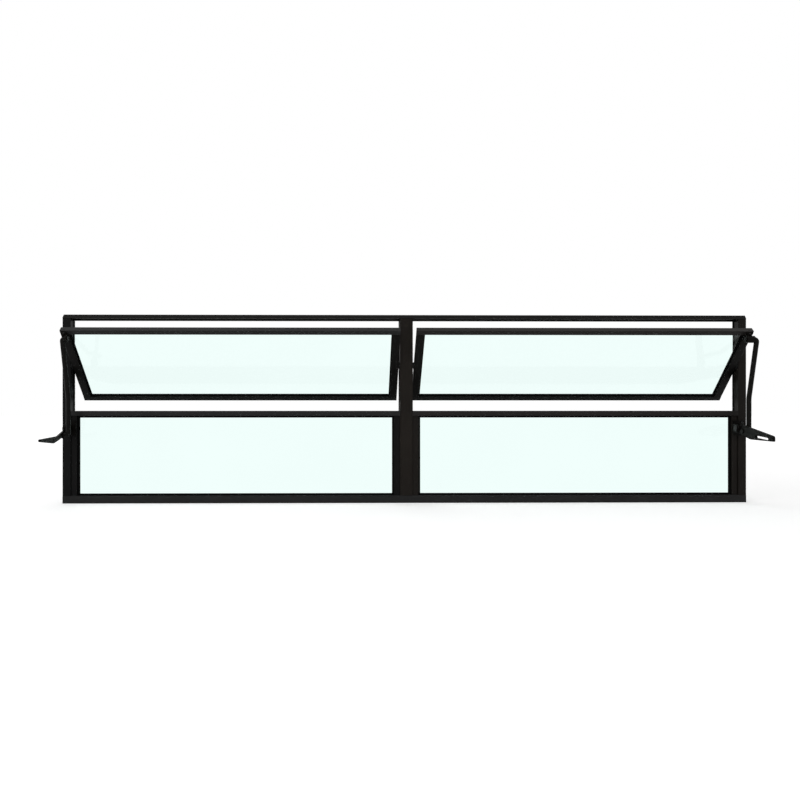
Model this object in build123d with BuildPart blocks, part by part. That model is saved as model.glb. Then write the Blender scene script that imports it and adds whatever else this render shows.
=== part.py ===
"""Tilting window: a frame of two bays, each with a pivoting upper sash over a fixed pane.

Millimetres. X runs along the window, the room is on the -Y side and +Z is up.
The origin is the middle of the sill's underside.
"""

import os

from build123d import *

os.makedirs("parts", exist_ok=True)

# Outer frame
frame_width = 1500.0
frame_height = 412.0
frame_depth = 25.0
profile_wall = 1.4
profile_bevel = 0.6
jamb_face = 17.5
mullion_face = 28.0
mullion_step = 2.0
mullion_step_depth = 1.2
head_tube_height = 8.0
head_stop_drop = 4.0
head_end_cut = (3.0, 7.0)
sill_height = 16.5
transom_underside = 191.0
transom_tube_height = 8.0
transom_stop_rise = 3.0
stop_thickness = 1.5
seal_slot_width = 3.0
seal_slot_depth = 2.0
seal_slot_from_rear = 5.0

# Glazing
glass_thickness = 4.0
gasket_wall = 1.0
gasket_base = 1.0
groove_depth = 5.0
fixed_gasket_show = 4.0
sash_gasket_show = 2.5
channel_face = 13.0
channel_depth = 14.0
channel_setback = 3.0

# Tilting sashes
sash_tilt = 43.3
sash_depth = 12.0
sash_rail_face = 11.0
sash_stile_face = 16.0
sash_side_gap = 3.0
sash_end_gap = 2.0
sash_seal_gap = 1.0
sash_glass_offset = 1.5

# Pivots
pivot_radius = 4.0
pivot_shoulder_radius = 8.0
pivot_shoulder_gap = 0.4
pivot_reach = 6.0
running_clearance = 0.05

# Levers, on the room face of each jamb
lever_below_transom = 27.0
lever_pivot_stand_off = 14.0
lever_length = 126.0
lever_thickness = 5.5
lever_hub_radius = 11.0
lever_edge_chamfer = 0.8
crank_boss_radius = 7.5
lever_gap = 0.3
lever_rod_offset = 9.0
right_rod_inset = 12.0
left_rod_inset = 24.5

# Right lever: a deep plate that tapers to its tip, with a slot through the grip
deep_tip_top = -11.0
deep_tip_bottom = -22.0
deep_heel = 46.0
deep_corner_radii = (5.0, 1.5, 20.0)
deep_crank_pin = (17.0, -6.0)
slot_length = 46.0
slot_width = 5.0
slot_centre = (87.0, -16.4)
slot_slope = 4.0

# Left lever: a cranked arm and a leaf-shaped grip, dished on both faces
slim_neck_top = (44.0, -14.2)
slim_tip_top = -16.5
slim_tip_bottom = -21.5
slim_belly = (63.0, -28.2)
slim_neck_bottom = (37.0, -22.3)
slim_corner_radii = (25.0, 2.2, 2.2, 8.0, 15.0)
slim_crank_pin = (15.0, -13.0)
dish_length = 46.0
dish_width = 5.5
dish_depth = 1.2
dish_centre = (86.0, -20.6)
dish_slope = -2.5

# Lever brackets
bracket_width = 26.0
bracket_height = 32.0
bracket_plate = 2.5
bracket_corner_radius = 3.0
bracket_ear = 3.5
bracket_ear_radius = 9.0
pin_head_radius = 6.5
pin_head_thickness = 2.0

# Rods and their brackets on the sashes
rod_radius = 5.0
rod_bend_radius = 6.0
rod_kink_radius = 40.0
rod_kink_above_transom = 38.0
rod_pin_overrun = 2.0
rod_pin_forward = 8.0
rod_pin_below_sash_top = 15.0
sash_bracket_width = 14.0
sash_bracket_height = 26.0
sash_bracket_plate = 2.0
sash_bracket_corner_radius = 2.0
sash_bracket_ear = 4.0
sash_bracket_ear_radius = 7.5
sash_bracket_ear_inset = 10.5

# Levels and planes that the pieces share
front_y = -frame_depth / 2
rear_y = frame_depth / 2
half_width = frame_width / 2
bay_outer = half_width - jamb_face
bay_inner = mullion_face / 2
bay_width = bay_outer - bay_inner
head_underside = frame_height - head_tube_height
transom_top = transom_underside + transom_tube_height
groove_width = glass_thickness + 2 * gasket_wall
chamber_inset = 2 * profile_wall

sash_front_y = front_y + stop_thickness + sash_seal_gap
pivot_y = sash_front_y + sash_depth / 2
sash_rear_y = sash_front_y + sash_depth
sash_bottom = transom_top + sash_end_gap
sash_top = head_underside - sash_end_gap
sash_height = sash_top - sash_bottom
pivot_z = (sash_top + sash_bottom) / 2
sash_pose = Location((0, pivot_y, pivot_z), (sash_tilt, 0, 0))


def on_sash(origin, x_dir, z_dir):
    """A plane given in the shut sash's own axes, about its pivot, carried to the open sash."""
    return Plane(sash_pose * Plane(origin=origin, x_dir=x_dir, z_dir=z_dir).location)


lever_pivot_height = transom_underside - lever_below_transom
rod_kink_height = transom_underside + rod_kink_above_transom
rod_pin_above_pivot = sash_height / 2 - rod_pin_below_sash_top
fixed_glass_y = front_y + channel_setback + channel_depth / 2
room_face = Plane(origin=(0, front_y, 0), x_dir=(1, 0, 0), z_dir=(0, -1, 0))


def save(piece, name):
    """Label a finished piece and write it."""
    piece.part.label = name
    export_step(piece.part, f"parts/{name}.step")


# Head: a flat tube over the jambs, its ends sloped, with a stop leg behind the top of each sash
with BuildPart() as head_rail:
    with BuildSketch(Plane.YZ.offset(-half_width)) as section:
        with Locations((0, frame_height - head_tube_height / 2)):
            Rectangle(frame_depth, head_tube_height)
            chamfer(section.vertices(), profile_bevel)
            Rectangle(frame_depth - chamber_inset, head_tube_height - chamber_inset, mode=Mode.SUBTRACT)
    extrude(amount=frame_width)
    for bay_start in (-bay_outer, bay_inner):
        with BuildSketch(Plane.YZ.offset(bay_start)):
            with Locations((sash_rear_y + sash_seal_gap, head_underside + profile_wall / 2)):
                Rectangle(stop_thickness, head_stop_drop + profile_wall / 2, align=(Align.MIN, Align.MAX))
        extrude(amount=bay_width)
    for sign in (-1, 1):
        with BuildSketch(Plane.XZ):
            with BuildLine():
                Polyline(
                    (sign * half_width, frame_height),
                    (sign * (half_width - head_end_cut[0]), frame_height),
                    (sign * half_width, frame_height - head_end_cut[1]),
                    close=True,
                )
            make_face()
        extrude(amount=frame_depth, both=True, mode=Mode.SUBTRACT)
save(head_rail, "head_rail")


# Sill: a tube under the jambs, grooved along its top for the fixed panes
with BuildPart() as sill_rail:
    with BuildSketch(Plane.YZ.offset(-half_width)) as section:
        with Locations((0, sill_height / 2)):
            Rectangle(frame_depth, sill_height)
            chamfer(section.vertices(), profile_bevel)
            Rectangle(frame_depth - chamber_inset, sill_height - chamber_inset, mode=Mode.SUBTRACT)
        with Locations((fixed_glass_y, sill_height)):
            Rectangle(
                groove_width + chamber_inset, groove_depth + profile_wall, align=(Align.CENTER, Align.MAX)
            )
            Rectangle(groove_width, groove_depth, align=(Align.CENTER, Align.MAX), mode=Mode.SUBTRACT)
    extrude(amount=frame_width)
save(sill_rail, "sill_rail")


# Jambs: tubes between sill and head, with a seal slot and a pivot hole in the inner wall
for side, sign in (("left", -1), ("right", 1)):
    with BuildPart() as jamb:
        with BuildSketch(Plane.XY.offset(sill_height)) as section:
            with Locations((sign * (half_width - jamb_face / 2), 0)):
                Rectangle(jamb_face, frame_depth)
                chamfer(section.vertices(), profile_bevel)
                Rectangle(jamb_face - chamber_inset, frame_depth - chamber_inset, mode=Mode.SUBTRACT)
            with Locations((sign * bay_outer, rear_y - seal_slot_from_rear)):
                slot_side = Align.MIN if sign > 0 else Align.MAX
                Rectangle(
                    seal_slot_depth + profile_wall,
                    seal_slot_width + chamber_inset,
                    align=(slot_side, Align.CENTER),
                )
                Rectangle(
                    seal_slot_depth, seal_slot_width, align=(slot_side, Align.CENTER), mode=Mode.SUBTRACT
                )
        extrude(amount=head_underside - sill_height)
        with BuildSketch(Plane.YZ.offset(sign * bay_outer)):
            with Locations((pivot_y, pivot_z)):
                Circle(pivot_radius + running_clearance)
        extrude(amount=sign * 2 * profile_wall, mode=Mode.SUBTRACT)
    save(jamb, f"{side}_jamb")


# Mullion: a wider tube with stepped front corners, a seal slot and a pivot hole on each side
with BuildPart() as centre_mullion:
    with BuildSketch(Plane.XY.offset(sill_height)) as section:
        Rectangle(mullion_face, frame_depth)
        chamfer(section.vertices(), profile_bevel)
        with Locations((0, mullion_step_depth / 2)):
            Rectangle(
                mullion_face - chamber_inset,
                frame_depth - chamber_inset - mullion_step_depth,
                mode=Mode.SUBTRACT,
            )
        for sign in (-1, 1):
            inward = Align.MIN if sign < 0 else Align.MAX
            with Locations((sign * bay_inner, front_y)):
                Rectangle(
                    mullion_step, mullion_step_depth, align=(inward, Align.MIN), mode=Mode.SUBTRACT
                )
            with Locations((sign * bay_inner, rear_y - seal_slot_from_rear)):
                Rectangle(
                    seal_slot_depth + profile_wall,
                    seal_slot_width + chamber_inset,
                    align=(inward, Align.CENTER),
                )
                Rectangle(
                    seal_slot_depth, seal_slot_width, align=(inward, Align.CENTER), mode=Mode.SUBTRACT
                )
    extrude(amount=head_underside - sill_height)
    for sign in (-1, 1):
        with BuildSketch(Plane.YZ.offset(sign * bay_inner)):
            with Locations((pivot_y, pivot_z)):
                Circle(pivot_radius + running_clearance)
        extrude(amount=-sign * 2 * profile_wall, mode=Mode.SUBTRACT)
save(centre_mullion, "centre_mullion")


# Transoms: grooved below for the fixed pane, with a stop leg before the foot of the sash
for side, bay_start in (("left", -bay_outer), ("right", bay_inner)):
    with BuildPart() as transom:
        with BuildSketch(Plane.YZ.offset(bay_start)) as section:
            with Locations((0, transom_underside + transom_tube_height / 2)):
                Rectangle(frame_depth, transom_tube_height)
                chamfer(section.vertices(), profile_bevel)
                Rectangle(
                    frame_depth - chamber_inset, transom_tube_height - chamber_inset, mode=Mode.SUBTRACT
                )
            with Locations((fixed_glass_y, transom_underside)):
                Rectangle(
                    groove_width + chamber_inset, transom_tube_height, align=(Align.CENTER, Align.MIN)
                )
                Rectangle(groove_width, groove_depth, align=(Align.CENTER, Align.MIN), mode=Mode.SUBTRACT)
            with Locations((front_y, transom_top - profile_bevel)):
                Rectangle(
                    stop_thickness, transom_stop_rise + profile_bevel, align=(Align.MIN, Align.MIN)
                )
        extrude(amount=bay_width)
    save(transom, f"{side}_transom")


def glazing_channel(plane, face, depth, groove_y, length, opens):
    """Extrude a hollow bar along the plane's normal, grooved for glass on one face.

    The bar spreads from the plane's origin against the way it opens, along the plane's X.
    """
    with BuildPart() as channel:
        with BuildSketch(plane) as section:
            with Locations((-opens * face / 2, 0)):
                Rectangle(face, depth)
                chamfer(section.vertices(), profile_bevel)
            with Locations((-opens * (face + groove_depth) / 2, 0)):
                Rectangle(face - groove_depth - chamber_inset, depth - chamber_inset, mode=Mode.SUBTRACT)
            with Locations((-opens * groove_depth / 2, groove_y)):
                Rectangle(groove_depth, groove_width, mode=Mode.SUBTRACT)
        extrude(amount=length)
    return channel


def pane(plane, width, height):
    """A sheet of glass centred on the plane, sunk in its grooves all round."""
    with BuildPart() as sheet:
        with BuildSketch(plane.offset(-glass_thickness / 2)):
            Rectangle(width + 2 * (groove_depth - gasket_base), height + 2 * (groove_depth - gasket_base))
        extrude(amount=glass_thickness)
    return sheet


def gasket_ring(plane, width, height, show):
    """A rubber channel round a pane, from the groove's floor to a lip over the glass."""
    with BuildPart() as ring:
        with BuildSketch(plane.offset(-groove_width / 2)):
            Rectangle(width + 2 * groove_depth, height + 2 * groove_depth)
            Rectangle(width - 2 * show, height - 2 * show, mode=Mode.SUBTRACT)
        extrude(amount=groove_width)
        with BuildSketch(plane.offset(-glass_thickness / 2)):
            Rectangle(width + 2 * (groove_depth - gasket_base), height + 2 * (groove_depth - gasket_base))
        extrude(amount=glass_thickness, mode=Mode.SUBTRACT)
    return ring


# Fixed panes: glass in a rubber ring, between side channels on the jamb and the mullion
fixed_height = transom_underside - sill_height
fixed_middle_z = (transom_underside + sill_height) / 2
fixed_opening = bay_width - 2 * channel_face
channel_y = front_y + channel_setback + channel_depth / 2
for side, sign in (("left", -1), ("right", 1)):
    for place, face_x, opens in (
        ("outer", sign * (bay_outer - channel_face), -sign),
        ("inner", sign * (bay_inner + channel_face), sign),
    ):
        stand = Plane(origin=(face_x, channel_y, sill_height))
        channel = glazing_channel(
            stand, channel_face, channel_depth, fixed_glass_y - channel_y, fixed_height, opens
        )
        save(channel, f"{side}_fixed_{place}_channel")
    pane_plane = Plane(
        origin=(sign * (bay_outer + bay_inner) / 2, fixed_glass_y, fixed_middle_z),
        x_dir=(1, 0, 0),
        z_dir=(0, -1, 0),
    )
    save(pane(pane_plane, fixed_opening, fixed_height), f"{side}_fixed_glass")
    save(gasket_ring(pane_plane, fixed_opening, fixed_height, fixed_gasket_show), f"{side}_fixed_gasket")


# Sashes: rails across the full width, stiles between them, glass in a rubber ring
sash_width = bay_width - 2 * sash_side_gap
sash_opening_width = sash_width - 2 * sash_stile_face
sash_opening_height = sash_height - 2 * sash_rail_face
sash_middle = (bay_outer + bay_inner) / 2
for side, sign in (("left", -1), ("right", 1)):
    middle_x = sign * sash_middle
    for place, level, opens in (("top", 1, -1), ("bottom", -1, 1)):
        rail_plane = on_sash(
            origin=(middle_x + sash_width / 2, 0, level * sash_opening_height / 2),
            x_dir=(0, 0, 1),
            z_dir=(-1, 0, 0),
        )
        rail = glazing_channel(
            rail_plane, sash_rail_face, sash_depth, sash_glass_offset, sash_width, opens
        )
        save(rail, f"{side}_sash_{place}_rail")
    for place, outward in (("outer", sign), ("inner", -sign)):
        stile_plane = on_sash(
            origin=(middle_x + outward * sash_opening_width / 2, 0, -sash_opening_height / 2),
            x_dir=(1, 0, 0),
            z_dir=(0, 0, 1),
        )
        stile = glazing_channel(
            stile_plane, sash_stile_face, sash_depth, sash_glass_offset, sash_opening_height, -outward
        )
        save(stile, f"{side}_sash_{place}_stile")
    pane_plane = on_sash(origin=(middle_x, sash_glass_offset, 0), x_dir=(1, 0, 0), z_dir=(0, -1, 0))
    save(pane(pane_plane, sash_opening_width, sash_opening_height), f"{side}_sash_glass")
    ring = gasket_ring(pane_plane, sash_opening_width, sash_opening_height, sash_gasket_show)
    save(ring, f"{side}_sash_gasket")

    # Pivots: a six-sided shoulder on each stile and a pin that turns in the jamb or the mullion
    for place, outward in (("outer", sign), ("inner", -sign)):
        with BuildPart() as pivot:
            stile_face = Plane(
                origin=(middle_x + outward * sash_width / 2, pivot_y, pivot_z),
                x_dir=(0, 1, 0),
                z_dir=(outward, 0, 0),
            )
            with BuildSketch(stile_face):
                RegularPolygon(pivot_shoulder_radius, 6)
            extrude(amount=sash_side_gap - pivot_shoulder_gap)
            with BuildSketch(stile_face):
                Circle(pivot_radius)
            extrude(amount=sash_side_gap + profile_wall + pivot_reach)
        save(pivot, f"{side}_sash_{place}_pivot")


# Levers with their brackets, pins and rods, one set on each jamb
lever_y = front_y - lever_pivot_stand_off
rod_pin_depth = -(sash_depth / 2 + rod_pin_forward)
rod_top = (sash_pose * Location((0, rod_pin_depth, rod_pin_above_pivot))).position
deep_outline = (
    (0, lever_hub_radius),
    (lever_length, deep_tip_top),
    (lever_length, deep_tip_bottom),
    (deep_heel, deep_tip_bottom),
    (0, -lever_hub_radius),
)
slim_outline = (
    (0, 0),
    slim_neck_top,
    (lever_length, slim_tip_top),
    (lever_length, slim_tip_bottom),
    slim_belly,
    slim_neck_bottom,
    (0, -lever_hub_radius),
)
for side, sign, rod_x, outline, corner_radii, crank_pin in (
    ("left", -1, -half_width + left_rod_inset, slim_outline, slim_corner_radii, slim_crank_pin),
    ("right", 1, half_width - right_rod_inset, deep_outline, deep_corner_radii, deep_crank_pin),
):
    lever_x = rod_x - lever_rod_offset
    lever_back_x = lever_x - lever_thickness
    crank_y = lever_y - crank_pin[0]
    crank_z = lever_pivot_height + crank_pin[1]
    lever_plane = Plane(
        origin=(lever_x, lever_y, lever_pivot_height), x_dir=(0, -1, 0), z_dir=(-1, 0, 0)
    )
    back_plane = lever_plane.offset(lever_thickness)
    if side == "left":
        ear_plane = lever_plane.offset(-lever_gap - bracket_ear)
        pin_plane = ear_plane
    else:
        ear_plane = back_plane.offset(lever_gap)
        pin_plane = lever_plane
    pin_length = lever_thickness + lever_gap + bracket_ear

    # Bracket: a base plate on the jamb, with one ear on the bay's side of the lever
    with BuildPart() as bracket:
        with BuildSketch(room_face):
            with Locations((sign * bay_outer, lever_pivot_height)):
                RectangleRounded(bracket_width, bracket_height, bracket_corner_radius)
        extrude(amount=bracket_plate)
        with BuildSketch(ear_plane):
            Circle(bracket_ear_radius)
            Rectangle(lever_pivot_stand_off, 2 * bracket_ear_radius, align=(Align.MAX, Align.CENTER))
            Circle(pivot_radius, mode=Mode.SUBTRACT)
        extrude(amount=bracket_ear)
    save(bracket, f"{side}_lever_bracket")

    # Lever: a plate with a hub, a crank hole for the rod, and a grip slotted right or dished left
    with BuildPart() as lever:
        with BuildSketch(lever_plane):
            with BuildLine() as edge:
                FilletPolyline(*outline, radius=corner_radii)
                Line(edge.line @ 1, edge.line @ 0)
            make_face()
            Circle(lever_hub_radius)
            with Locations(crank_pin):
                Circle(crank_boss_radius)
            Circle(pivot_radius + running_clearance, mode=Mode.SUBTRACT)
            with Locations(crank_pin):
                Circle(rod_radius + running_clearance, mode=Mode.SUBTRACT)
        extrude(amount=lever_thickness)
        rims = lever.faces().filter_by(Axis.X)
        chamfer([rim_edge for rim in rims for rim_edge in rim.outer_wire().edges()], lever_edge_chamfer)
        if side == "right":
            with BuildSketch(lever_plane):
                with Locations(slot_centre):
                    SlotOverall(slot_length, slot_width, rotation=-slot_slope)
            extrude(amount=lever_thickness, mode=Mode.SUBTRACT)
        else:
            for face_plane, inward in ((lever_plane, 1), (back_plane, -1)):
                with BuildSketch(face_plane):
                    with Locations(dish_centre):
                        SlotOverall(dish_length, dish_width, rotation=-dish_slope)
                extrude(amount=inward * dish_depth, mode=Mode.SUBTRACT)
    save(lever, f"{side}_lever")

    # Pin: a headed rivet through the ear and the lever's hub
    with BuildPart() as lever_pin:
        with BuildSketch(pin_plane):
            Circle(pivot_radius)
        extrude(amount=pin_length)
        with BuildSketch(pin_plane.offset(pin_length)):
            Circle(pin_head_radius)
        extrude(amount=pin_head_thickness)
        with BuildSketch(pin_plane):
            Circle(pin_head_radius)
        extrude(amount=-pin_head_thickness)
    save(lever_pin, f"{side}_lever_pin")

    # Rod: a round bar, its ends bent into pins for the lever and for the sash's bracket
    stile_outer_x = sign * (sash_middle + sash_width / 2)
    ear_outer_x = stile_outer_x - sign * sash_bracket_ear_inset
    ear_far_x = ear_outer_x - sign * sash_bracket_ear
    with BuildPart() as rod:
        with BuildLine() as rod_path:
            FilletPolyline(
                (lever_back_x - rod_pin_overrun, crank_y, crank_z),
                (rod_x, crank_y, crank_z),
                (rod_x, crank_y, rod_kink_height),
                (rod_x, rod_top.Y, rod_top.Z),
                (ear_far_x - sign * rod_pin_overrun, rod_top.Y, rod_top.Z),
                radius=(rod_bend_radius, rod_kink_radius, rod_bend_radius),
            )
        with BuildSketch(Plane(origin=rod_path.line @ 0, z_dir=rod_path.line % 0)):
            Circle(rod_radius)
        sweep()
    save(rod, f"{side}_rod")

    # Sash bracket: a plate on the outer stile with an ear for the rod's upper pin, bossed at the right
    with BuildPart() as sash_bracket:
        stile_middle_x = stile_outer_x - sign * sash_stile_face / 2
        stile_front = on_sash(
            origin=(stile_middle_x, -sash_depth / 2, rod_pin_above_pivot),
            x_dir=(1, 0, 0),
            z_dir=(0, -1, 0),
        )
        with BuildSketch(stile_front):
            RectangleRounded(sash_bracket_width, sash_bracket_height, sash_bracket_corner_radius)
        extrude(amount=sash_bracket_plate)
        ear_side = on_sash(
            origin=(ear_outer_x, -sash_depth / 2, rod_pin_above_pivot),
            x_dir=(0, -1, 0),
            z_dir=(-sign, 0, 0),
        )
        with BuildSketch(ear_side):
            with Locations((rod_pin_forward, 0)):
                Circle(sash_bracket_ear_radius)
            Rectangle(rod_pin_forward, 2 * sash_bracket_ear_radius, align=(Align.MIN, Align.CENTER))
            with Locations((rod_pin_forward, 0)):
                Circle(rod_radius + running_clearance, mode=Mode.SUBTRACT)
        extrude(amount=sash_bracket_ear)
        if side == "right":
            with BuildSketch(ear_side):
                with Locations((rod_pin_forward, 0)):
                    Circle(sash_bracket_ear_radius)
                    Circle(rod_radius + running_clearance, mode=Mode.SUBTRACT)
            extrude(amount=-(rod_x - rod_bend_radius - lever_gap - ear_outer_x))
    save(sash_bracket, f"{side}_rod_bracket")
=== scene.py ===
import math

import bpy
from mathutils import Matrix, Vector


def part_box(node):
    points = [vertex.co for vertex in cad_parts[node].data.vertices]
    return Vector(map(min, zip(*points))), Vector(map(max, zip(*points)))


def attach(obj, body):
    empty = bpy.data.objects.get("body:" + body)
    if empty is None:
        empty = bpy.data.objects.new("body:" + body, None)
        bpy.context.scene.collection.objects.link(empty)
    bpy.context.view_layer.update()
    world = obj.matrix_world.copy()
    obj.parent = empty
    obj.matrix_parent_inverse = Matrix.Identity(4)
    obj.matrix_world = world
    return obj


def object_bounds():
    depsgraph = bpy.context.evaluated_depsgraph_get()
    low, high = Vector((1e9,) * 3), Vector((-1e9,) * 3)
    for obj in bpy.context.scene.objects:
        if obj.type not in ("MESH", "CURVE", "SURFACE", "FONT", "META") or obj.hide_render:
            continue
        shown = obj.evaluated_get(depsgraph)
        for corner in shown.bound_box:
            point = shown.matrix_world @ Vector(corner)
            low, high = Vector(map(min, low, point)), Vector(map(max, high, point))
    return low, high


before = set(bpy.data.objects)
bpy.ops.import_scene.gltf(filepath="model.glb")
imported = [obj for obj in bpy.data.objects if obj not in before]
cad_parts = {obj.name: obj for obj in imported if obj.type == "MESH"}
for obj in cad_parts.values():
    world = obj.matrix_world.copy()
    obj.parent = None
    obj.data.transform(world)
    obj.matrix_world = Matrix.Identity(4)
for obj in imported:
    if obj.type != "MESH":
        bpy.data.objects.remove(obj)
cad_low, cad_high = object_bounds()


# Outer frame: head, sill, jambs, mullion and transoms
# Hollow aluminium bars from an extrusion press, sawn to length and screwed together at the corners.
# They wear a satin black powder coat, with a faint orange peel and the die's long lines under it.
def fill(tree, node, inputs):
    """Set a node's inputs from plain values, or link them from other nodes' sockets."""
    for name, value in inputs.items():
        if isinstance(value, bpy.types.NodeSocket):
            tree.links.new(value, node.inputs[name])
        else:
            node.inputs[name].default_value = value


def add_node(tree, kind, inputs=None, **settings):
    """Add a node, set its properties and fill its inputs."""
    made = tree.nodes.new(kind)
    for name, value in settings.items():
        setattr(made, name, value)
    fill(tree, made, inputs or {})
    return made


def add_sockets(tree, direction, **sockets):
    """Give a node group its inputs or outputs, with a space in the name for each underscore."""
    for name, kind in sockets.items():
        tree.interface.new_socket(name.replace("_", " "), in_out=direction, socket_type="NodeSocket" + kind)


def calculate(tree, operation, *values):
    """Work out one number from plain values or sockets."""
    return add_node(tree, "ShaderNodeMath", dict(enumerate(values)), operation=operation).outputs[0]


def noise(tree, vector, scale, detail, **more):
    """A soft random pattern; scale is about how many patches there are to the metre."""
    inputs = {"Vector": vector, "Scale": scale, "Detail": detail, **more}
    return add_node(tree, "ShaderNodeTexNoise", inputs).outputs["Fac"]


def ranged(tree, value, from_low, from_high, to_low, to_high):
    """Carry a value from one range over to another."""
    inputs = {
        "Value": value, "From Min": from_low, "From Max": from_high, "To Min": to_low, "To Max": to_high,
    }
    return add_node(tree, "ShaderNodeMapRange", inputs).outputs[0]


def relief(tree, height, strength, depth):
    """Turn a height pattern into a bumpy surface normal."""
    inputs = {"Strength": strength, "Distance": depth, "Height": height}
    return add_node(tree, "ShaderNodeBump", inputs).outputs["Normal"]


def new_material(name):
    """A material, with its node tree, its shader and the coordinates of the piece that wears it."""
    material = bpy.data.materials.new(name)
    material.use_nodes = True
    tree = material.node_tree
    place = add_node(tree, "ShaderNodeTexCoord").outputs["Object"]
    return material, tree, tree.nodes["Principled BSDF"], place


satin_coat = bpy.data.node_groups.new("satin_coat", "ShaderNodeTree")
add_sockets(
    satin_coat, "INPUT", Vector="Vector", Colour="Color", Peel_Scale="Float", Lines="Float",
    Roughness="Float", Spread="Float",
)
add_sockets(satin_coat, "OUTPUT", Colour="Color", Roughness="Float", Height="Float")
coat_in = add_node(satin_coat, "NodeGroupInput").outputs
noise_low, noise_high = 0.3, 0.7
die_line_scale = (2.5, 300.0, 300.0)
cloud_scale = 11.0
cloud_darkest, cloud_lightest = 0.8, 1.2
dust_and_top_light_least_slope = 0.35
dust_and_top_light_most = 0.5
drawn_out = add_node(
    satin_coat, "ShaderNodeVectorMath", {0: coat_in["Vector"], 1: die_line_scale}, operation="MULTIPLY"
)
die_lines = noise(satin_coat, drawn_out.outputs[0], 1.0, 2.0)
peel = noise(satin_coat, coat_in["Vector"], coat_in["Peel Scale"], 2.0, Roughness=0.4)
clouding = noise(satin_coat, coat_in["Vector"], cloud_scale, 4.0)
shade = ranged(satin_coat, clouding, noise_low, noise_high, cloud_darkest, cloud_lightest)
# Upward faces are lighter in patches: dust, and painted top light, as if lit from above.
surface = add_node(satin_coat, "ShaderNodeNewGeometry")
facing = add_node(satin_coat, "ShaderNodeSeparateXYZ", {0: surface.outputs["Normal"]})
dust_and_top_light = ranged(satin_coat, facing.outputs["Z"], dust_and_top_light_least_slope, 1.0, 0.0, dust_and_top_light_most)
shade_with_dust_and_top_light = calculate(satin_coat, "MULTIPLY_ADD", dust_and_top_light, clouding, shade)
coat_colour = add_node(
    satin_coat, "ShaderNodeHueSaturation", {"Color": coat_in["Colour"], "Value": shade_with_dust_and_top_light}
)
streaks = add_node(
    satin_coat, "ShaderNodeMix", {"Factor": coat_in["Lines"], "A": clouding, "B": die_lines},
    data_type="FLOAT",
)
sheen_change = ranged(satin_coat, streaks.outputs["Result"], noise_low, noise_high, -0.5, 0.5)
add_node(
    satin_coat, "NodeGroupOutput",
    {
        "Colour": coat_colour.outputs["Color"],
        "Roughness": calculate(
            satin_coat, "MULTIPLY_ADD", sheen_change, coat_in["Spread"], coat_in["Roughness"]
        ),
        "Height": calculate(satin_coat, "MULTIPLY_ADD", die_lines, coat_in["Lines"], peel),
    },
)

mm = 0.001
peel_strength = 0.25
peel_depth = 0.12 * mm


def coated(
    name, colour, specular, roughness=0.42, spread=0.16, peel_scale=850.0, lines=0.5, turn=(0.0, 0.0, 0.0)
):
    """A painted finish; turn lays the long lines, which run along X, in the bar's own direction."""
    material, tree, shader, place = new_material(name)
    lie = add_node(tree, "ShaderNodeMapping", {"Vector": place, "Rotation": turn})
    coat = add_node(
        tree, "ShaderNodeGroup",
        {
            "Vector": lie.outputs["Vector"], "Colour": (*colour, 1.0), "Peel Scale": peel_scale,
            "Lines": lines, "Roughness": roughness, "Spread": spread,
        },
        node_tree=satin_coat,
    ).outputs
    fill(
        tree, shader,
        {
            "Base Color": coat["Colour"], "Roughness": coat["Roughness"], "Specular IOR Level": specular,
            "Normal": relief(tree, coat["Height"], peel_strength, peel_depth),
        },
    )
    return material


def finish_nodes(material, *names):
    """Give CAD pieces one finish."""
    for name in names:
        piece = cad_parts[name]
        piece.data.materials.clear()
        piece.data.materials.append(material)


bays = ("left", "right")
quarter_turn = math.radians(90)
upright = (0.0, quarter_turn, 0.0)
# Lit and shaded copies of the one coat: lying bars are painted lighter, as if lit from above, and standing
# bars darker, as painted shade. The right side is painted warmer, and its standing bars lighter, as painted
# warm light from the right.
lying_tones_painted_light = {"left": (0.0128, 0.0128, 0.0130), "right": (0.0118, 0.0102, 0.0094)}
standing_tones_painted_shade = {"left": (0.0040, 0.0039, 0.0039), "right": (0.0102, 0.0084, 0.0071)}
lying_black_painted_light = {
    side: coated(f"powder_coat_lying_{side}", tone, specular=0.13) for side, tone in lying_tones_painted_light.items()
}
standing_black_painted_shade = {
    side: coated(f"powder_coat_standing_{side}", tone, specular=0.07, turn=upright)
    for side, tone in standing_tones_painted_shade.items()
}
# The head is a darker copy of the coat, as painted shade.
head_black_painted_shade = coated("powder_coat_head", (0.0094, 0.0090, 0.0084), specular=0.10)
# The mullion is a lighter, warmer copy of the coat, as painted light.
mullion_black_painted_light = coated("powder_coat_mullion", (0.0128, 0.0104, 0.0086), specular=0.07, turn=upright)
finish_nodes(lying_black_painted_light["left"], "sill_rail")
finish_nodes(head_black_painted_shade, "head_rail")
finish_nodes(mullion_black_painted_light, "centre_mullion")
for side in bays:
    finish_nodes(lying_black_painted_light[side], f"{side}_transom")
    finish_nodes(standing_black_painted_shade[side], f"{side}_jamb")


# Pile seals in the jambs and the mullion
# Woven strips of stiff black fibre, slid into the slots beside the sashes to keep out the draught.
# The backing tape fills the foot of the slot and the pile stands just clear of the stiles.
seal_fibre = coated(
    "seal_fibre", (0.008, 0.008, 0.008), specular=0.05, roughness=0.85, spread=0.1, peel_scale=2500.0,
    lines=0.0,
)


def end_tree(tree, geometry, material):
    """End a tree in plain mesh of one material."""
    mesh = add_node(tree, "GeometryNodeRealizeInstances", {0: geometry})
    finish = add_node(tree, "GeometryNodeSetMaterial", {"Geometry": mesh.outputs[0], "Material": material})
    add_node(tree, "NodeGroupOutput", {0: finish.outputs[0]})


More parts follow.
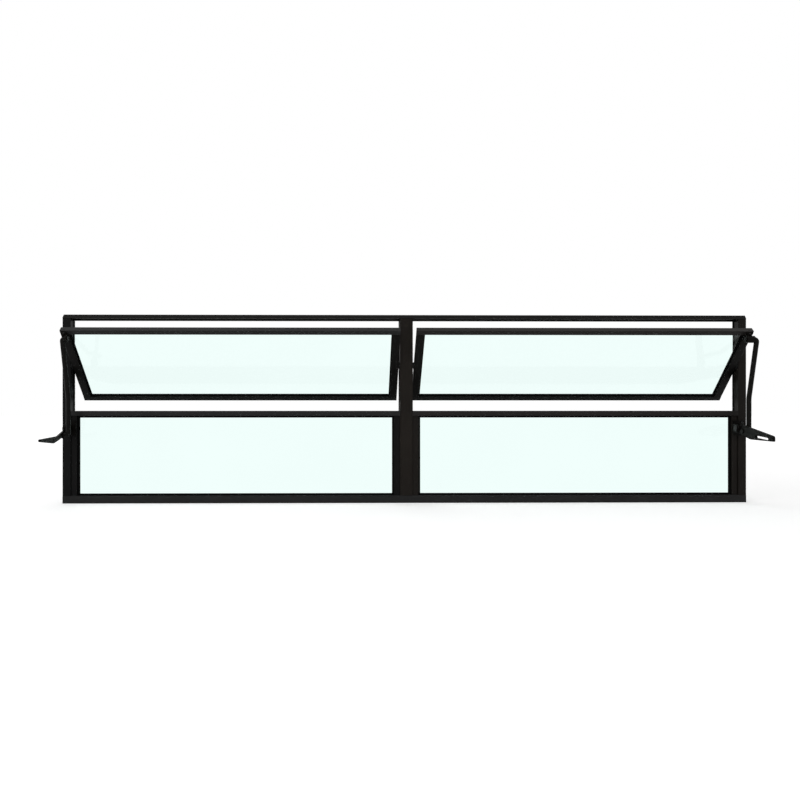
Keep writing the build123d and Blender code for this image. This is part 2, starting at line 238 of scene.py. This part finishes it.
pile_tree = bpy.data.node_groups.new("pile_strip", "GeometryNodeTree")
add_sockets(pile_tree, "OUTPUT", Geometry="Geometry")
add_sockets(
    pile_tree, "INPUT", Width="Float", Length="Float", Backing="Float", Pile_Height="Float",
    Tuft_Radius="Float", Tip_Radius="Float", Rows="Int", Tufts="Int", Material="Material",
)
pile_in = add_node(pile_tree, "NodeGroupInput").outputs
tuft_band = 0.72
tuft_sides = 5
tuft_lean = 0.14
tuft_shortest = 0.88
tape_size = add_node(
    pile_tree, "ShaderNodeCombineXYZ",
    {"X": pile_in["Width"], "Y": pile_in["Length"], "Z": pile_in["Backing"]},
)
tape = add_node(pile_tree, "GeometryNodeMeshCube", {"Size": tape_size.outputs[0]})
tape_middle = calculate(pile_tree, "MULTIPLY", pile_in["Backing"], 0.5)
tape_lift = add_node(pile_tree, "ShaderNodeCombineXYZ", {"Z": tape_middle})
tape_placed = add_node(
    pile_tree, "GeometryNodeTransform",
    {"Geometry": tape.outputs["Mesh"], "Translation": tape_lift.outputs[0]},
)
tuft_grid = add_node(
    pile_tree, "GeometryNodeMeshGrid",
    {
        "Size X": calculate(pile_tree, "MULTIPLY", pile_in["Width"], tuft_band),
        "Size Y": pile_in["Length"], "Vertices X": pile_in["Rows"], "Vertices Y": pile_in["Tufts"],
    },
)
tuft = add_node(
    pile_tree, "GeometryNodeMeshCone",
    {
        "Vertices": tuft_sides, "Side Segments": 1, "Radius Top": pile_in["Tip Radius"],
        "Radius Bottom": pile_in["Tuft Radius"], "Depth": pile_in["Pile Height"],
    },
)
tuft_turns = add_node(
    pile_tree, "FunctionNodeRandomValue",
    {"Min": (-tuft_lean, -tuft_lean, 0.0), "Max": (tuft_lean, tuft_lean, math.tau), "Seed": 7},
    data_type="FLOAT_VECTOR",
)
tuft_heights = add_node(
    pile_tree, "FunctionNodeRandomValue",
    {"Min": (1.0, 1.0, tuft_shortest), "Max": (1.0, 1.0, 1.0), "Seed": 8}, data_type="FLOAT_VECTOR",
)
tufts = add_node(
    pile_tree, "GeometryNodeInstanceOnPoints",
    {
        "Points": tuft_grid.outputs["Mesh"], "Instance": tuft.outputs["Mesh"],
        "Rotation": tuft_turns.outputs[0], "Scale": tuft_heights.outputs[0],
    },
)
strip = add_node(pile_tree, "GeometryNodeJoinGeometry")
pile_tree.links.new(tape_placed.outputs["Geometry"], strip.inputs[0])
pile_tree.links.new(tufts.outputs["Instances"], strip.inputs[0])
end_tree(pile_tree, strip.outputs[0], pile_in["Material"])


def grow(name, tree, slot, points=(), **values):
    """Run a node tree, on points that each face a way, and keep the result as a plain mesh."""
    piece = bpy.data.objects.new(name, bpy.data.meshes.new(name))
    bpy.context.scene.collection.objects.link(piece)
    if points:
        piece.data.from_pydata([place for place, _ in points], [], [])
        ways = piece.data.attributes.new("facing", "FLOAT_VECTOR", "POINT")
        for row, (_, way) in zip(ways.data, points):
            row.vector = way
    maker = piece.modifiers.new(tree.name, "NODES")
    maker.node_group = tree
    for socket in tree.interface.items_tree:
        value_name = socket.name.replace(" ", "_")
        if socket.in_out == "INPUT" and value_name in values:
            maker[socket.identifier] = values[value_name]
    made = bpy.data.meshes.new_from_object(piece.evaluated_get(bpy.context.evaluated_depsgraph_get()))
    piece.modifiers.remove(maker)
    piece.data = made
    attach(piece, "root")
    return piece


seal_slot_depth = 2.0 * mm
seal_slot_from_rear = 5.0 * mm
pile_clear_of_slot = 2.1 * mm
jamb_low, jamb_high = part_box("left_jamb")
right_jamb_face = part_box("right_jamb")[0].x
mullion_low, mullion_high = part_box("centre_mullion")
seal_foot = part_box("left_transom")[1].z
seal_length = jamb_high.z - seal_foot
for name, face_x, inward in (
    ("left_jamb_seal", jamb_high.x, 1),
    ("mullion_left_seal", mullion_low.x, -1),
    ("mullion_right_seal", mullion_high.x, 1),
    ("right_jamb_seal", right_jamb_face, -1),
):
    seal = grow(
        name, pile_tree, "gasket",
        Width=2.9 * mm, Length=seal_length, Backing=0.7 * mm,
        Pile_Height=seal_slot_depth + pile_clear_of_slot, Tuft_Radius=0.55 * mm, Tip_Radius=0.18 * mm,
        Rows=3, Tufts=420, Material=seal_fibre,
    )
    # The strip is made along Y with its pile up: it stands on end, with the pile towards the sash.
    seal.data.transform(
        Matrix((
            (0, 0, inward, face_x - inward * seal_slot_depth),
            (inward, 0, 0, jamb_high.y - seal_slot_from_rear),
            (0, 1, 0, seal_foot + seal_length / 2),
            (0, 0, 0, 1),
        ))
    )


# Buffers under the head
# Ribbed strips of black rubber, stuck to the stop leg at the outer end of each bay.
# The corner of the sash closes on them.
bloom_scale = 60.0
bloom_low, bloom_high = 0.35, 0.75
bloom_darkest, bloom_lightest = 0.7, 1.8
grain_scale = 1400.0
grain_strength = 0.3
grain_depth = 0.1 * mm


def rubber(name, colour, roughness, spread, specular):
    """Extruded rubber: matt, with a faint grey bloom and a fine grain."""
    material, tree, shader, place = new_material(name)
    bloom = noise(tree, place, bloom_scale, 5.0)
    greyness = ranged(tree, bloom, bloom_low, bloom_high, bloom_darkest, bloom_lightest)
    tone = add_node(tree, "ShaderNodeHueSaturation", {"Color": (*colour, 1.0), "Value": greyness})
    grain = noise(tree, place, grain_scale, 1.0)
    fill(
        tree, shader,
        {
            "Base Color": tone.outputs["Color"], "Specular IOR Level": specular,
            "Roughness": ranged(tree, bloom, 0.0, 1.0, roughness - spread, roughness + spread),
            "Normal": relief(tree, grain, grain_strength, grain_depth),
        },
    )
    return material


glazing_rubber = rubber(
    "glazing_rubber", (0.0022, 0.0022, 0.0024), roughness=0.78, spread=0.1, specular=0.05
)
buffer_width = 16.0 * mm
buffer_base = 0.35 * mm
buffer_rib = 0.5 * mm
buffer_ribs = 4
rib_steps = 6
stop_leg_front = 3.0 * mm
buffer_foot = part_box("head_rail")[0].z
buffer_rise = jamb_high.z - buffer_foot
profile = [(stop_leg_front, buffer_foot)]
for step in range(buffer_ribs * rib_steps + 1):
    swell = abs(math.sin(math.pi * step / rib_steps))
    rise = buffer_rise * step / (buffer_ribs * rib_steps)
    profile.append((stop_leg_front - buffer_base - buffer_rib * swell, buffer_foot + rise))
profile.append((stop_leg_front, jamb_high.z))
count = len(profile)
long_faces = [(i, count + i, count + (i + 1) % count, (i + 1) % count) for i in range(count)]
end_faces = [tuple(range(count)), tuple(reversed(range(count, 2 * count)))]
for side, low_x in (("left", jamb_high.x), ("right", right_jamb_face - buffer_width)):
    buffer_mesh = bpy.data.meshes.new(f"{side}_head_buffer")
    corners = [(x, y, z) for x in (low_x, low_x + buffer_width) for y, z in profile]
    buffer_mesh.from_pydata(corners, [], long_faces + end_faces)
    buffer_mesh.materials.append(glazing_rubber)
    head_buffer = bpy.data.objects.new(f"{side}_head_buffer", buffer_mesh)
    bpy.context.scene.collection.objects.link(head_buffer)
    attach(head_buffer, "root")


# Fixed panes: glass, rubber glazing strips and the side channels
# Clear float glass, 4 mm thick, pushed into a black rubber strip that lines the grooves all round.
# The side channels are the same coated aluminium, screwed to the jambs and to the mullion.
wave_scale = 6.0
wave_strength = 0.05
wave_depth = 0.2 * mm
wave_darkest = 0.99


def float_glass(name, tint, reflected):
    """Clear glass with a mint cast, a faint roller wave and weak reflections."""
    material, tree, shader, place = new_material(name)
    wave = noise(tree, place, wave_scale, 1.0)
    clearness = ranged(tree, wave, noise_low, noise_high, wave_darkest, 1.0)
    mint = add_node(tree, "ShaderNodeHueSaturation", {"Color": (*tint, 1.0), "Value": clearness})
    fill(
        tree, shader,
        {
            "Base Color": mint.outputs["Color"], "Transmission Weight": 1.0, "Roughness": 0.0, "IOR": 1.5,
            "Specular Tint": (reflected, reflected, reflected, 1.0),
            "Normal": relief(tree, wave, wave_strength, wave_depth),
        },
    )
    return material


def glaze(node):
    """Make a CAD pane clear glass, which lets the light through without a shadow."""
    finish_nodes(window_glass, node)
    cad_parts[node].visible_shadow = False


window_glass = float_glass("mint_float_glass", (0.88, 1.0, 0.975), reflected=0.15)
for side in bays:
    glaze(f"{side}_fixed_glass")
    finish_nodes(glazing_rubber, f"{side}_fixed_gasket")
    finish_nodes(standing_black_painted_shade[side], f"{side}_fixed_outer_channel", f"{side}_fixed_inner_channel")


# Tilting sashes: rails, stiles, glass and rubber
# Each sash is four coated bars, the rails running over the ends of the stiles, with glass in rubber.
# Screws through the rails hold the corners. The sash leans on side pivots, its top into the room.
def middle(node):
    """The middle of a CAD node's box."""
    low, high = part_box(node)
    return (low + high) / 2


def reach(node, direction):
    """How far a CAD node reaches along a direction, lowest and highest."""
    along = [direction.dot(corner.co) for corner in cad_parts[node].data.vertices]
    return min(along), max(along)


sash_along = Vector((1.0, 0.0, 0.0))
sash_up = (middle("left_sash_top_rail") - middle("left_sash_bottom_rail")).normalized()
sash_face = sash_along.cross(sash_up)
sash_tilt = math.atan2(-sash_up.y, sash_up.z)
# The stiles and the bottom rails are darker copies of the coat, as painted shade. The top rails take the
# lighter lying copy, as painted light.
stile_black_painted_shade = coated(
    "powder_coat_stile", (0.0052, 0.0049, 0.0045), specular=0.06, turn=(-sash_tilt, quarter_turn, 0.0)
)
foot_black_painted_shade = coated("powder_coat_foot", (0.0064, 0.0066, 0.0063), specular=0.08)
for side in bays:
    finish_nodes(lying_black_painted_light[side], f"{side}_sash_top_rail")
    finish_nodes(foot_black_painted_shade, f"{side}_sash_bottom_rail")
    finish_nodes(stile_black_painted_shade, f"{side}_sash_outer_stile", f"{side}_sash_inner_stile")
    finish_nodes(glazing_rubber, f"{side}_sash_gasket")
    glaze(f"{side}_sash_glass")

screw_tree = bpy.data.node_groups.new("cross_head_screws", "GeometryNodeTree")
add_sockets(screw_tree, "OUTPUT", Geometry="Geometry")
add_sockets(
    screw_tree, "INPUT", Geometry="Geometry", Head_Radius="Float", Head_Height="Float", Material="Material"
)
screw_in = add_node(screw_tree, "NodeGroupInput").outputs
head_size = add_node(
    screw_tree, "ShaderNodeCombineXYZ",
    {"X": screw_in["Head Radius"], "Y": screw_in["Head Radius"], "Z": screw_in["Head Height"]},
).outputs[0]
ball = add_node(screw_tree, "GeometryNodeMeshUVSphere", {"Segments": 24, "Rings": 12, "Radius": 1.0})
dome = add_node(
    screw_tree, "GeometryNodeTransform", {"Geometry": ball.outputs["Mesh"], "Scale": head_size}
)
# Cutters in shares of the head's radius and height: one for all that lies below the seat, two for the cross.
slot_length, slot_width, slot_middle = 1.2, 0.26, 0.95
cutters = add_node(screw_tree, "GeometryNodeJoinGeometry")
for cutter_size, cutter_middle in (
    ((3.0, 3.0, 2.0), -1.0),
    ((slot_length, slot_width, 1.0), slot_middle),
    ((slot_width, slot_length, 1.0), slot_middle),
):
    block = add_node(screw_tree, "GeometryNodeMeshCube", {"Size": cutter_size})
    block_raised = add_node(
        screw_tree, "GeometryNodeTransform",
        {"Geometry": block.outputs["Mesh"], "Translation": (0.0, 0.0, cutter_middle)},
    )
    block_sized = add_node(
        screw_tree, "GeometryNodeTransform",
        {"Geometry": block_raised.outputs["Geometry"], "Scale": head_size},
    )
    screw_tree.links.new(block_sized.outputs["Geometry"], cutters.inputs[0])
screw_head = add_node(
    screw_tree, "GeometryNodeMeshBoolean",
    {"Mesh 1": dome.outputs["Geometry"], "Mesh 2": cutters.outputs[0], "Self Intersection": True},
    operation="DIFFERENCE", solver="EXACT",
)
screw_way = add_node(
    screw_tree, "GeometryNodeInputNamedAttribute", {"Name": "facing"}, data_type="FLOAT_VECTOR"
)
screw_stand = add_node(
    screw_tree, "FunctionNodeAlignRotationToVector", {"Vector": screw_way.outputs["Attribute"]}, axis="Z"
)
screw_spin = add_node(
    screw_tree, "FunctionNodeRandomValue",
    {"Min": (0.0, 0.0, 0.0), "Max": (0.0, 0.0, math.pi), "Seed": 3}, data_type="FLOAT_VECTOR",
)
screw_turn = add_node(
    screw_tree, "FunctionNodeRotateRotation",
    {"Rotation": screw_stand.outputs[0], "Rotate By": screw_spin.outputs[0]}, rotation_space="LOCAL",
)
screws = add_node(
    screw_tree, "GeometryNodeInstanceOnPoints",
    {
        "Points": screw_in["Geometry"], "Instance": screw_head.outputs["Mesh"],
        "Rotation": screw_turn.outputs[0],
    },
)
end_tree(screw_tree, screws.outputs[0], screw_in["Material"])

screw_black = coated(
    "blackened_screws", (0.010, 0.010, 0.010), specular=0.2, roughness=0.36, peel_scale=1500.0, lines=0.0
)
for side in bays:
    corner_spots = []
    for rail, end, way in (("top", 1, sash_up), ("bottom", 0, -sash_up)):
        rail_node = f"{side}_sash_{rail}_rail"
        edge = sash_up * reach(rail_node, sash_up)[end]
        depth = sash_face * sum(reach(rail_node, sash_face)) / 2
        for stile in ("outer", "inner"):
            across = sash_along * middle(f"{side}_sash_{stile}_stile").x
            corner_spots.append((edge + depth + across, way))
    grow(
        f"{side}_sash_corner_screws", screw_tree, "pin", points=corner_spots,
        Head_Radius=2.6 * mm, Head_Height=0.7 * mm, Material=screw_black,
    )


# Pivots
# Moulded nylon studs: a six-sided shoulder on the stile and a pin in the jamb or the mullion.
# They are coloured black in the mass and run dry.
pivot_nylon = coated(
    "black_nylon", (0.008, 0.008, 0.008), specular=0.12, roughness=0.55, peel_scale=500.0, lines=0.0
)
for side in bays:
    finish_nodes(pivot_nylon, f"{side}_sash_outer_pivot", f"{side}_sash_inner_pivot")


# Levers, rods and their brackets
# Die-cast levers and bent round bar, painted black, with pressed brackets screwed to jamb and stile.
# The levers turn on blackened steel rivets.
gear_tone = (0.0052, 0.0048, 0.0042)
gear_black = coated(
    "black_gear_paint", gear_tone, specular=0.04, roughness=0.40, peel_scale=600.0, lines=0.05
)
rod_black = coated("black_rod_paint", gear_tone, specular=0.06, lines=0.3, turn=upright)
rivet_steel = coated(
    "blackened_rivets", (0.007, 0.007, 0.007), specular=0.14, roughness=0.34, peel_scale=1200.0, lines=0.0
)
for side in bays:
    finish_nodes(gear_black, f"{side}_lever", f"{side}_lever_bracket", f"{side}_rod_bracket")
    finish_nodes(rod_black, f"{side}_rod")
    finish_nodes(rivet_steel, f"{side}_lever_pin")

room_way = Vector((0.0, -1.0, 0.0))
jamb_plate = 2.5 * mm
jamb_screw_inset = 10.5 * mm
jamb_screw_from_end = 4.5 * mm
stile_plate = 2.0 * mm
stile_screw_from_end = 3.0 * mm
for side, outer_x, inward in (("left", cad_low.x, 1), ("right", cad_high.x, -1)):
    plate_low, plate_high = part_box(f"{side}_lever_bracket")
    jamb_spots = [
        (Vector((outer_x + inward * jamb_screw_inset, jamb_low.y - jamb_plate, level)), room_way)
        for level in (plate_low.z + jamb_screw_from_end, plate_high.z - jamb_screw_from_end)
    ]
    grow(
        f"{side}_lever_bracket_screws", screw_tree, "pin", points=jamb_spots,
        Head_Radius=3.0 * mm, Head_Height=1.9 * mm, Material=screw_black,
    )
    stile = f"{side}_sash_outer_stile"
    foot, top = reach(f"{side}_rod_bracket", sash_up)
    plate_front = sash_face * (reach(stile, sash_face)[1] + stile_plate)
    stile_spots = [
        (plate_front + sash_up * rise + sash_along * middle(stile).x, sash_face)
        for rise in (foot + stile_screw_from_end, top - stile_screw_from_end)
    ]
    grow(
        f"{side}_rod_bracket_screws", screw_tree, "pin", points=stile_spots,
        Head_Radius=2.2 * mm, Head_Height=1.4 * mm, Material=screw_black,
    )


# Camera
# A little left of the middle and a little above the transoms, level, and almost square to the frame.
# The lens is shifted so that the window stands in the picture as it does in the photograph.
picture_width = 800
focal_pixels = 691.9
axis_left_of_centre = 40.0
camera_place = (-0.1204, -1.5276, 0.2257)
camera_swing = math.radians(-0.707)
camera_data = bpy.data.cameras.new("camera")
camera_data.sensor_width = 36.0
camera_data.lens = camera_data.sensor_width * focal_pixels / picture_width
camera_data.shift_x = axis_left_of_centre / picture_width
camera = bpy.data.objects.new("camera", camera_data)
camera.location = camera_place
camera.rotation_euler = (quarter_turn, 0.0, camera_swing)
bpy.context.scene.collection.objects.link(camera)
bpy.context.scene.camera = camera


# Studio: floor, surrounding light and lamps
# A white floor that keeps the window's shadow, and a white surround for the eye and for the glass.
# The light is a plain soft room, brighter overhead, with a large lamp in front and a weak one behind.
def looked_at(tree):
    """1 for rays of the eye, of a reflection and through glass, 0 where only light is gathered."""
    path = add_node(tree, "ShaderNodeLightPath").outputs
    eye_or_glass = calculate(tree, "MAXIMUM", path["Is Camera Ray"], path["Is Transmission Ray"])
    return calculate(tree, "MAXIMUM", eye_or_glass, path["Is Glossy Ray"])


white = (1.0, 1.0, 1.0, 1.0)
floor_grey = (0.8, 0.8, 0.8, 1.0)
floor_half = 8.0
near_floor, far_floor = 1.0, 4.0
near_glow, far_glow = 0.36, 0.62
floor_mesh = bpy.data.meshes.new("floor")
floor_mesh.from_pydata(
    [(x * floor_half, y * floor_half, 0.0) for x, y in ((-1, -1), (1, -1), (1, 1), (-1, 1))],
    [],
    [(0, 1, 2, 3)],
)
floor = bpy.data.objects.new("floor", floor_mesh)
bpy.context.scene.collection.objects.link(floor)
floor_white, floor_tree, floor_shader, floor_place = new_material("floor_white")
floor_distance = add_node(floor_tree, "ShaderNodeVectorMath", {0: floor_place}, operation="LENGTH")
floor_glow = ranged(floor_tree, floor_distance.outputs["Value"], near_floor, far_floor, near_glow, far_glow)
fill(
    floor_tree, floor_shader,
    {
        "Base Color": floor_grey, "Roughness": 0.9, "Specular IOR Level": 0.0, "Emission Color": white,
        "Emission Strength": calculate(floor_tree, "MULTIPLY", looked_at(floor_tree), floor_glow),
    },
)
plain_white = add_node(floor_tree, "ShaderNodeEmission", {"Color": white, "Strength": 1.0})
floor_path = add_node(floor_tree, "ShaderNodeLightPath").outputs
floor_seen = add_node(
    floor_tree, "ShaderNodeMixShader",
    {0: floor_path["Is Transmission Ray"], 1: floor_shader.outputs[0], 2: plain_white.outputs[0]},
)
fill(floor_tree, floor_tree.nodes["Material Output"], {"Surface": floor_seen.outputs[0]})
floor_mesh.materials.append(floor_white)

level_light, overhead_light = 0.4, 0.8
sky_foot, sky_top = -0.1, 1.0
world = bpy.data.worlds.new("studio")
world.use_nodes = True
world_tree = world.node_tree
sky_way = add_node(world_tree, "ShaderNodeTexCoord")
sky_height = add_node(world_tree, "ShaderNodeSeparateXYZ", {0: sky_way.outputs["Generated"]})
room_light = ranged(world_tree, sky_height.outputs["Z"], sky_foot, sky_top, level_light, overhead_light)
surround = add_node(
    world_tree, "ShaderNodeMix", {"Factor": looked_at(world_tree), "A": room_light, "B": 1.0},
    data_type="FLOAT",
)
fill(
    world_tree, world_tree.nodes["Background"], {"Color": white, "Strength": surround.outputs["Result"]}
)
bpy.context.scene.world = world


def soft_lamp(name, place, target, size, watts):
    """A large square lamp turned to a point."""
    data = bpy.data.lights.new(name, "AREA")
    data.size = size
    data.energy = watts
    lamp = bpy.data.objects.new(name, data)
    lamp.location = place
    lamp.rotation_euler = (target - Vector(place)).to_track_quat("-Z", "Y").to_euler()
    bpy.context.scene.collection.objects.link(lamp)


window_middle = (cad_low + cad_high) / 2
soft_lamp("key_lamp", place=(-1.3, -1.8, 2.0), target=window_middle, size=1.6, watts=18.0)
soft_lamp("back_lamp", place=(-1.0, 2.2, 1.9), target=window_middle, size=1.8, watts=8.0)

bpy.context.scene.view_settings.view_transform = "Standard"
